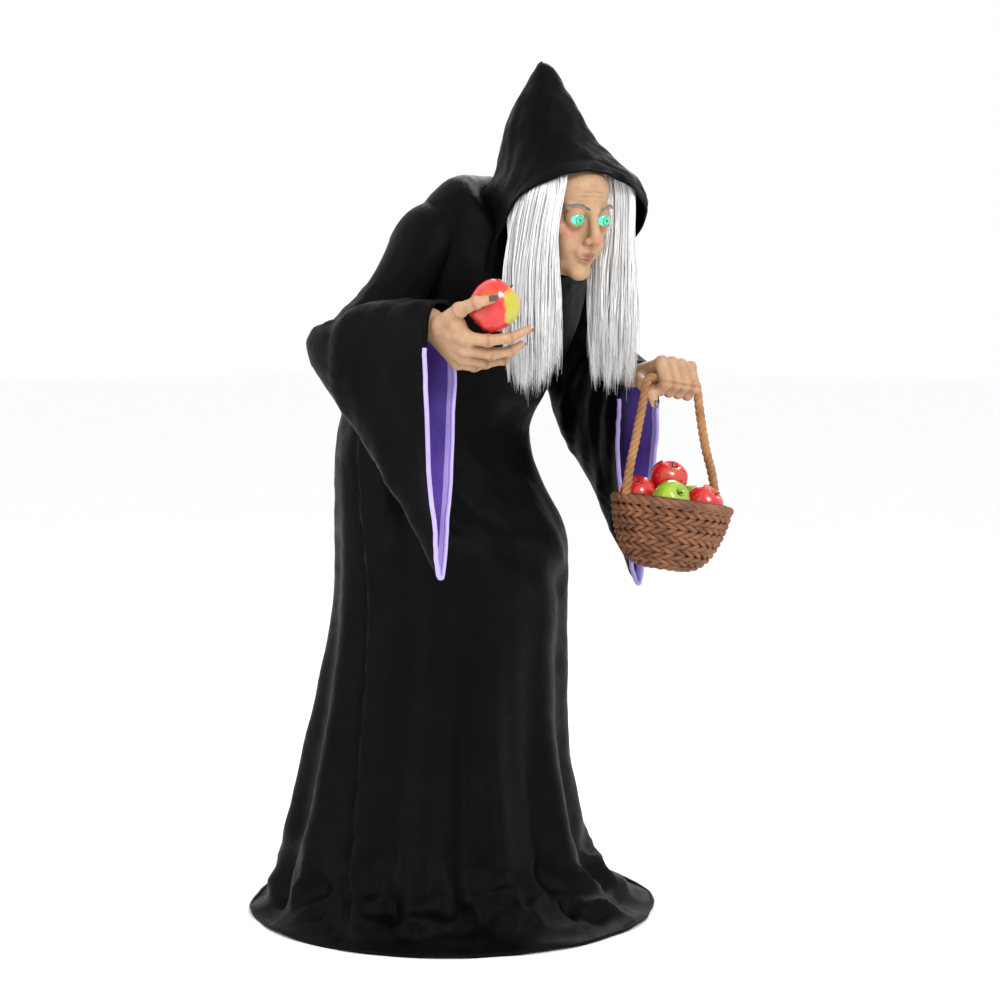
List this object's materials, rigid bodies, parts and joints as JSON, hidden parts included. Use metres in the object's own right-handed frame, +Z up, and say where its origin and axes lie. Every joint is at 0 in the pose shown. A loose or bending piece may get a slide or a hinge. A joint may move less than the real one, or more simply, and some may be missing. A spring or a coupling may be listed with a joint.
{
  "type": "animated witch figure",
  "caption": "Life-size stooped witch display figure in a hooded black robe: the waist, head and right arm are motor-driven, and a basket of apples swings from the left fist.",
  "frame": {"origin": "centre of the base plate's underside, on the floor", "axes": "+Z up, the figure faces -Y, her left hand is on +X"},
  "size_m": [0.81, 0.9188, 1.664],
  "materials": {
    "black_steel": "satin black powder coat",
    "rubber": "matt black rubber",
    "black_plastic": "fine-grained black ABS",
    "bright_metal": "brushed bare metal",
    "gear_plastic": "natural nylon",
    "circuit": "green solder mask",
    "arm_tube": "dark coated tube",
    "foam": "grey foam",
    "robe_cloth": "plain black polyester cloth, matt with a faint sheen",
    "skin": "painted vinyl skin, tan with reddish shading",
    "eye_lens": "glossy translucent green lens, lit from behind",
    "hair": "straight white synthetic hair",
    "apple_red": "glossy red with a yellow-green blush",
    "apple_green": "glossy green",
    "wicker": "moulded brown weave, semi-matt",
    "rope": "twisted tan rope"
  },
  "bodies": {
    "base": {"base_hub": "black_steel", "leg_tube_1": "black_steel", "leg_tube_2": "black_steel", "leg_tube_3": "black_steel", "leg_tube_4": "black_steel", "foot_cap_1": "rubber", "foot_cap_2": "rubber", "foot_cap_3": "rubber", "foot_cap_4": "rubber", "lower_pole": "black_steel", "upper_pole": "black_steel", "pole_collar": "black_plastic", "control_box_body": "black_plastic", "control_box_cover": "black_plastic", "circuit_board": "circuit", "speaker": "bright_metal", "power_jack": "bright_metal", "waist_housing": "black_steel", "waist_cover": "black_steel", "waist_bearing": "bright_metal", "waist_motor": "bright_metal", "robe_skirt": "robe_cloth"},
    "pole_button": {"pole_button": "bright_metal"},
    "mode_switch": {"mode_switch": "rubber"},
    "waist_pinion": {"waist_pinion": "bright_metal"},
    "torso": {"waist_gear": "gear_plastic", "waist_shaft": "bright_metal", "torso_frame": "black_steel", "hump_pad": "foam", "neck_housing": "black_plastic", "neck_motor": "bright_metal", "shoulder_housing": "black_plastic", "shoulder_motor": "bright_metal", "left_upper_arm": "arm_tube", "left_forearm": "arm_tube", "left_hand": "skin", "sleeve_left": "robe_cloth", "robe_upper": "robe_cloth"},
    "head": {"neck_post": "black_steel", "face_shell": "skin", "skull_shell": "skin", "eye_right": "eye_lens", "eye_left": "eye_lens", "wig_cap": "hair", "hair_lock_right": "hair", "hair_lock_left": "hair", "hood": "robe_cloth"},
    "right_arm": {"right_upper_arm": "arm_tube", "right_forearm": "arm_tube", "right_hand": "skin", "held_apple": "apple_red", "sleeve_right": "robe_cloth"},
    "basket": {"basket_bowl": "wicker", "basket_tray": "wicker", "basket_handle": "rope", "basket_apple_1": "apple_green", "basket_apple_2": "apple_red", "basket_apple_3": "apple_green", "basket_apple_4": "apple_red", "basket_apple_5": "apple_red"}
  },
  "joints": [
    {"name": "waist_turn", "type": "hinge", "parent": "base", "child": "torso", "pos_m": [0, 0, 0.95], "axis": [0, 0, 1], "range_deg": [-20, 20]},
    {"name": "waist_pinion_spin", "type": "hinge", "parent": "base", "child": "waist_pinion", "pos_m": [0, 0.06, 0.95], "axis": [0, 0, 1], "range_deg": [-77, 77]},
    {"name": "head_turn", "type": "hinge", "parent": "torso", "child": "head", "pos_m": [0, -0.245, 1.3], "axis": [0, 0, 1], "range_deg": [-15, 15]},
    {"name": "right_arm_raise", "type": "hinge", "parent": "torso", "child": "right_arm", "pos_m": [-0.19, -0.115, 1.33], "axis": [-1, 0, 0], "range_deg": [-5, 15]},
    {"name": "basket_swing", "type": "hinge", "parent": "torso", "child": "basket", "pos_m": [0.205, -0.4, 1.055], "axis": [0.954, -0.2556, -0.1564], "range_deg": [-20, 10]},
    {"name": "pole_button_press", "type": "slide", "parent": "base", "child": "pole_button", "axis": [0, -1, 0], "range_m": [0, 0.003], "stiffness_N_per_m": 400},
    {"name": "mode_switch_slide", "type": "slide", "parent": "base", "child": "mode_switch", "axis": [1, 0, 0], "range_m": [0, 0.006]}
  ],
  "couplings": [
    {"joint": "waist_pinion_spin", "follows": "waist_turn", "ratio": -3.8}
  ]
}
